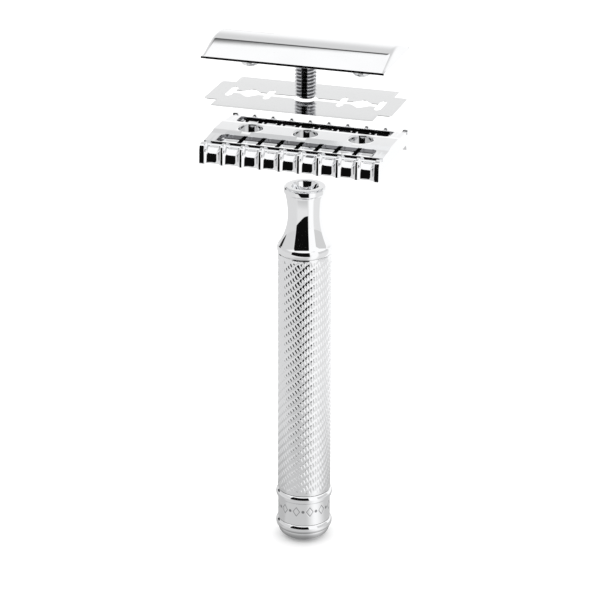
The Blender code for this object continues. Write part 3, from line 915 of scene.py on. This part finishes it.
# ---------------------------------------------------------------- comb plate
LAND_FLAT = 2.7
LAND_EDGE = 4.6
LAND_DROP = 0.36
LAND_THICKNESS = 2.0
BAR_INNER = 9.0
BAR_DROP = 1.22  # bar beside its lip, below the land
LIP_WIDTH = 0.35  # raised lip along the inner edge of the bar
LIP_DROP = 0.62
WALL_HALF = 12.0
WALL_TOP = 2.80  # where the recessed wall's slope ends, below the land
WALL_JOINT = 3.00  # and where the wall has become upright
TOOTH_PITCH = 4.40
TOOTH_COUNT = 10
TOOTH_CENTRES = [-TOOTH_PITCH * (TOOTH_COUNT - 1) / 2 + TOOTH_PITCH * i for i in range(TOOTH_COUNT)]
RIB_WIDTH = 1.0
TOOTH_DROP = 0.45  # top of a tooth below the land
WEB_TOP = 1.35  # top and underside of the web in the trough, below the land
WEB_UNDER = 2.60
LIP_ROUND = 0.10
TROUGH_END = 2.6  # from the end of the comb to the end of the trough
FACE_DRAFT = 0.15  # how much further out the long faces stand at the bottom
TOOTH_FLAT = 0.26  # half width of a tooth's flat face
TOOTH_FLANK = 1.35  # width of the blend from tooth to gap
HOLE_RADIUS = 2.70


def comb_half(tooth, end):
    """Half section as (y, z) below the land, from the middle out and back underneath.

    tooth runs from 0 in a gap to 1 on a tooth, end from 0 along the comb to 1 at its solid ends.
    """
    face = COMB_HIGH.y - FACE_DRAFT
    depth = COMB_HIGH.z - COMB_LOW.z

    def blend(gap, full):
        return tuple(g + (f - g) * tooth for g, f in zip(gap, full))

    def filled(y, z, radius):
        return y, z * (1.0 - end) - (depth - 1.3) * end, radius

    lip = BAR_INNER + LIP_WIDTH
    top = [(0.0, 0.0), (LAND_FLAT, 0.0, 0.3), (LAND_EDGE, -LAND_DROP, 0.10),
           (lip, -LIP_DROP, 0.08), (lip + 0.10, -BAR_DROP, 0.08)]
    outside = [blend((10.20, -BAR_DROP - 0.15, 0.3), (10.45, -BAR_DROP - 0.18, 0.06)),
               blend((11.05, -BAR_DROP - 0.31, 0.25), (10.60, -TOOTH_DROP, 0.12)),
               blend((WALL_HALF - 0.02, -WALL_TOP + 0.1, 0.35), (face - 0.40, -TOOTH_DROP - 0.2, 0.8)),
               blend((WALL_HALF, -WALL_JOINT, 0.1), (face, -1.9, 0.3))]
    for down in (0.2, 0.4, 0.6):
        z = -WALL_JOINT - (depth - WALL_JOINT) * down
        outside.append(blend((WALL_HALF + FACE_DRAFT * down, z), (face + FACE_DRAFT * down, z)))
    outside.append(blend((WALL_HALF + FACE_DRAFT, -depth, 0.65), (face + FACE_DRAFT, -depth, 0.12)))
    under = [(10.1, -depth, 0.12), filled(9.5, -WEB_UNDER - 0.2, 0.4), filled(8.6, -WEB_UNDER, 0.4),
             filled(LAND_EDGE + 0.9, -WEB_UNDER, 0.2), filled(LAND_EDGE + 0.5, -LAND_THICKNESS, 0.1),
             filled(0.0, -LAND_THICKNESS, 0.0)]
    return filleted(top + outside + under, steps=5)


def comb_ring(x, tooth, end):
    half = comb_half(tooth, end)
    top = COMB_HIGH.z
    right = [(x, y, top + z) for y, z in half]
    return right + [(x, -y, z) for x, y, z in reversed(right[1:-1])]


def tooth_share(x):
    """1 on a tooth, 0 in the gap beside it."""
    end_tooth = COMB_HIGH.x - 0.65
    clear = min(abs(x - centre) - TOOTH_FLAT for centre in TOOTH_CENTRES[1:-1])
    clear = min(clear, end_tooth - 0.4 - abs(x))
    return flank_share(clear / TOOTH_FLANK)


def flank_share(away):
    """Height of a tooth's side: steep beside the tooth, then hollowed out towards the gap."""
    if away <= 0.0:
        return 1.0
    hollow = max(0.0, 1.0 - away) ** 2.4
    return hollow + (1.0 - hollow) * (1.0 - smoothstep(away / 0.12))


def end_share(x):
    """0 along the comb, 1 where its solid end closes the trough."""
    return 1.0 if abs(x) > COMB_HIGH.x - 2.3 else 0.0


def comb_stations():
    """Places along the comb, close together where the section changes."""
    half = COMB_HIGH.x
    steps = int(round(2 * half / 0.2))
    stations = {round(-half + 2 * half * i / steps, 4) for i in range(steps + 1)}
    for centre in TOOTH_CENTRES:
        for k in range(9):
            for side in (-1, 1):
                x = centre + side * (TOOTH_FLAT + TOOTH_FLANK * k / 8)
                if abs(x) < half - 0.3:
                    stations.add(round(x, 4))
    ordered = sorted(stations)
    kept = [ordered[0]]
    for x in ordered[1:]:
        if x - kept[-1] > 0.05:
            kept.append(x)
    kept[-1] = half
    return kept


def make_comb():
    bm = bmesh.new()
    loft(bm, [comb_ring(x, tooth_share(x), end_share(x)) for x in comb_stations()])
    comb = finished("comb_plate_cast", bm, "comb", comb_metal(), ["comb_plate"],
                    30.0)
    top = COMB_HIGH.z
    for side in (-1, 1):
        trough = bmesh.new()
        trough_levels(trough, side)
        boolean(comb, cutter_from(trough))
    cut = bmesh.new()
    windows = TOOTH_COUNT - 2
    for i in range(windows):
        x = TOOTH_PITCH * (i - (windows - 1) / 2)
        for side in (-1, 1):
            half = (TOOTH_PITCH - RIB_WIDTH) / 2
            near, far = side * (LAND_EDGE + 0.25), side * (BAR_INNER - 0.25)
            floor, above = top - WEB_UNDER - 1.0, top - WEB_TOP + 0.3
            tray(cut, [(floor, x - half, x + half, near, far), (above, x - half, x + half, near, far)], 0.4)
    for x in (-POST_SPACING, 0.0, POST_SPACING):
        outline = [(0.0, top + 1.0), (HOLE_RADIUS + 1.25, top + 1.0), (HOLE_RADIUS + 0.25, top),
                   (HOLE_RADIUS + 0.08, top - 0.1), (HOLE_RADIUS, top - 0.3),
                   (HOLE_RADIUS, top - 6.0), (0.0, top - 6.0)]
        revolve(cut, outline, 96, (x, 0.0))
    boolean(comb, cutter_from(cut))
    comb.data.shade_smooth()
    comb.data.set_sharp_from_angle(angle=math.radians(32))
    weigh_normals(comb)
    return comb


def tray(bm, levels, corner):
    """A hollow's cutter: rounded rectangles (z, x0, x1, y0, y1) skinned from the lowest up."""
    rings = []
    for z, x0, x1, y0, y1 in levels:
        y0, y1 = min(y0, y1), max(y0, y1)
        loop = filleted([(x0, y0, corner), (x1, y0, corner), (x1, y1, corner), (x0, y1, corner)],
                        closed=True, steps=8)
        rings.append([(x, y, z) for x, y in loop])
    loft(bm, rings)


def trough_levels(bm, side):
    """The trough between land and bar: upright walls, and a round inner edge on the bar's lip."""
    top = COMB_HIGH.z
    half = COMB_HIGH.x - TROUGH_END
    levels = [(top - WEB_TOP, 0.0)]
    for k in range(0, 9):
        angle = math.radians(10.0 * k)
        levels.append((top - LIP_DROP - LIP_ROUND * (1.0 - math.sin(angle)),
                       LIP_ROUND * (1.0 - math.cos(angle))))
    levels.append((top + 0.5, levels[-1][1]))
    tray(bm, [(z, -half, half, side * LAND_EDGE, side * (BAR_INNER + flare)) for z, flare in levels], 1.1)


# ---------------------------------------------------------------- studio
CAMERA_AZIMUTH = 17.42
CAMERA_ELEVATION = 21.99
CAMERA_ROLL = 0.18
CAMERA_DISTANCE = 630.5
CAMERA_LENS = 166.9
AIM_HEIGHT = 58.89
AIM_SIDE = -1.088


def make_camera():
    azimuth, elevation = math.radians(CAMERA_AZIMUTH), math.radians(CAMERA_ELEVATION)
    back = Vector((math.sin(azimuth) * math.cos(elevation), -math.cos(azimuth) * math.cos(elevation),
                   math.sin(elevation)))
    right = Vector((math.cos(azimuth), math.sin(azimuth), 0.0))
    aim = Vector((0.0, 0.0, AIM_HEIGHT)) + right * AIM_SIDE
    data = bpy.data.cameras.new("camera")
    data.lens = CAMERA_LENS
    data.sensor_width = 36.0
    data.clip_start = 0.01
    data.clip_end = 50.0
    camera = bpy.data.objects.new("camera", data)
    camera.location = (aim + back * CAMERA_DISTANCE) * MM
    camera.rotation_mode = 'QUATERNION'
    turn = (-back).to_track_quat('-Z', 'Y')
    camera.rotation_quaternion = turn @ Quaternion((0.0, 0.0, 1.0), math.radians(CAMERA_ROLL))
    bpy.context.scene.collection.objects.link(camera)
    bpy.context.scene.camera = camera


class Light(Tree):
    """Node maths for what the polished metal sees round it: cards by bearing and height.

    Bearings are in degrees to the right of the main view, and elevations above the horizon.
    """

    def polar(self, vector):
        """Bearing, height and distance from the axis of a place or a direction."""
        azimuth = math.radians(CAMERA_AZIMUTH)
        x, y, z = self.split(vector)
        right = self.math('ADD', self.times(x, math.cos(azimuth)), self.times(y, math.sin(azimuth)))
        front = self.math('SUBTRACT', self.times(x, math.sin(azimuth)), self.times(y, math.cos(azimuth)))
        degrees = self.math('DEGREES', self.math('ARCTAN2', right, front))
        return degrees, z, self.math('SQRT', self.math('ADD', self.times(x, x), self.times(y, y)))

    def layer(self, base, mask, value):
        """Lay a brightness over base where mask is 1."""
        return self.math('ADD', self.times(base, self.rest(mask)), self.times(mask, value))


WHITE = 1.04
WALL_WHITE = 1.35  # the white walls as the floor and the picture's background see them
BLACK = 0.004
DARK_CARD = (-56.0, 20.0, -25.0, 48.0)  # left and right bearing, lowest and highest elevation
PALE_CARD = (56.0, 110.0, -25.0, 30.0)
LEFT_WALL = (-150.0, -56.0, -5.0, 40.0)
THIN_CARD = (-138.0, -122.0, -20.0, 18.0)
CARDS = ((LEFT_WALL, 0.68, 8.0), (PALE_CARD, 0.66, 1.0), (THIN_CARD, 0.02, 1.0),
         (DARK_CARD, BLACK, 1.0))            # each with its brightness and the softness of its edge
BACK_GREY = 0.70  # the wall behind, up to BACK_TOP degrees, and the dark gap under that
BACK_GAP = 0.10
BACK_TOP = 49.5


def make_world():
    """White studio walls; polished metal also sees grey and black cards round the razor."""
    world = bpy.data.worlds.new("studio")
    bpy.context.scene.world = world
    world.use_nodes = True
    tree = world.node_tree
    light = Light(tree)
    background = tree.nodes["Background"]
    background.inputs["Color"].default_value = (1.0, 1.0, 1.0, 1.0)
    direction = light.add("ShaderNodeTexCoord").outputs["Generated"]
    bearing, height, _flat = light.polar(direction)
    elevation = light.math('DEGREES', light.math('ARCSINE', height))
    value = light.math('ADD', WHITE, 0.0)

    # behind the razor: white low down, greyer upwards, a dark gap, and the bright ceiling
    behind = light.math('SUBTRACT', 180.0, light.math('ABSOLUTE', bearing))
    back = light.rest(light.step(behind, 60.0, 12.0))
    grey = light.times(light.step(elevation, 19.0, 15.0),
                      light.rest(light.step(elevation, BACK_TOP, 1.0)))
    value = light.layer(value, light.times(back, grey), BACK_GREY)
    gap = light.times(light.between(elevation, 44.0, BACK_TOP, 1.0),
                     light.rest(light.step(bearing, -166.0, 3.0)))
    value = light.layer(value, gap, BACK_GAP)
    for (left, right, low, high), shade, soft in CARDS:
        mask = light.times(light.between(bearing, left, right, soft),
                          light.between(elevation, low, high, soft))
        value = light.layer(value, mask, shade)
    path = light.add("ShaderNodeLightPath").outputs["Is Glossy Ray"]
    plain = light.times(WALL_WHITE, light.rest(path))
    strength = light.math('ADD', plain, light.times(value, path))
    light.link(strength, background.inputs["Strength"])


FLOOR_SIZE = 6000.0
FAR_LEFT = 0.74  # painted brightness of the floor in reflections, by side and distance
FAR_RIGHT = 0.80
FRONT_NEAR = 0.58
FRONT_FAR = 0.82
FOOT_FRONT = 0.59
FOOT_LIT = 0.415  # how much brighter than that it is on the lit side
FOOT_RIGHT = 0.58
FOOT_LEFT = 0.50
FOOT_LEFT_EDGE = 0.60
CONTACT = 0.42  # share of that brightness left close under the foot: a painted contact shadow
BLACK_FROM = 178.0  # where the black card starts, in millimetres
FLOOR_GAP = 0.02  # keeps the foot from sharing a plane with the floor


def make_floor():
    """A pale sweep; in reflections it glows with painted light and shade: the shaded and lit sides of the
    set.
    """
    bm = bmesh.new()
    bmesh.ops.create_grid(bm, x_segments=8, y_segments=8, size=FLOOR_SIZE / 2)
    floor = object_from(bm, "floor")
    floor.location = (0.0, 0.0, -FLOOR_GAP * MM)
    mat = bpy.data.materials.new("floor_pale")
    mat.use_nodes = True
    tree = mat.node_tree
    light = Light(tree)
    shader = tree.nodes["Principled BSDF"]
    shader.inputs["Base Color"].default_value = (0.97, 0.97, 0.97, 1.0)
    shader.inputs["Roughness"].default_value = 0.9
    shader.inputs["Specular IOR Level"].default_value = 0.0
    position = light.add("ShaderNodeTexCoord").outputs["Object"]
    bearing, _height, distance = light.polar(position)
    away = light.times(distance, 1.0 / MM)
    left_side = light.rest(light.step(bearing, -78.0, 10.0))

    # further off: grey to the left, darker in front, pale to the right
    value = light.math('ADD', WHITE, 0.0)
    value = light.layer(value, light.rest(light.step(bearing, DARK_CARD[0], 6.0)), FAR_LEFT)
    value = light.layer(value, light.between(bearing, *PALE_CARD[:2], 6.0), FAR_RIGHT)
    front = light.between(bearing, *DARK_CARD[:2], 10.0)
    value = light.layer(value, front, FRONT_NEAR)
    far_front = light.times(front, light.step(away, 110.0, 30.0))
    value = light.layer(value, far_front, FRONT_FAR)

    # near the foot: soft changes only, and the razor's own contact shadow
    lit = light.times(light.step(bearing, 24.0, 20.0), FOOT_LIT)
    near = light.math('ADD', FOOT_FRONT, lit)
    near = light.layer(near, light.step(bearing, 70.0, 28.0), FOOT_RIGHT)
    near = light.layer(near, left_side, FOOT_LEFT)
    near = light.layer(near, light.between(bearing, -76.0, -60.0, 8.0), FOOT_LEFT_EDGE)
    value = light.layer(near, light.step(away, 60.0, 30.0), value)
    value = light.times(value, light.math('ADD', CONTACT, light.times(
        light.step(away, 8.0, 3.0), 1.0 - CONTACT)))

    # the black card across the front, painted black into the floor where reflections see it
    ahead = light.math('COSINE', light.math('RADIANS', bearing))
    aside = light.math('SINE', light.math('RADIANS', bearing))
    depth = light.times(away, light.math('ADD', ahead, light.times(aside, 0.225)))
    black = light.times(light.step(depth, BLACK_FROM, 3.0), light.between(bearing, *DARK_CARD[:2], 1.0))
    value = light.layer(value, black, BLACK)
    # glossy rays see the floor glow with this painted light and shade instead of its plain shading
    glow = light.add("ShaderNodeEmission")
    light.link(value, glow.inputs["Strength"])
    mix = light.add("ShaderNodeMixShader")
    path = light.add("ShaderNodeLightPath").outputs["Is Glossy Ray"]
    light.link(path, mix.inputs["Fac"])
    light.link(shader.outputs["BSDF"], mix.inputs[1])
    light.link(glow.outputs["Emission"], mix.inputs[2])
    light.link(mix.outputs["Shader"], tree.nodes["Material Output"].inputs["Surface"])
    floor.data.materials.append(mat)


# ---------------------------------------------------------------- build
make_camera()
make_world()
make_floor()
bpy.context.scene.view_settings.view_transform = 'Standard'

make_end_cap()
make_collar_ring()
make_grip_tube()
make_neck()
make_insert()
make_stud()
make_post("locating_post_left_turned", "locating_post_left")
make_post("locating_post_right_turned", "locating_post_right")
make_cap()
make_boss("stud_collar", 0.0, STUD_HIGH.x)
make_boss("post_collar_left", -POST_SPACING, (POST_HIGH.x - POST_LOW.x) / 2)
make_boss("post_collar_right", POST_SPACING, (POST_HIGH.x - POST_LOW.x) / 2)
make_blade()
make_comb()
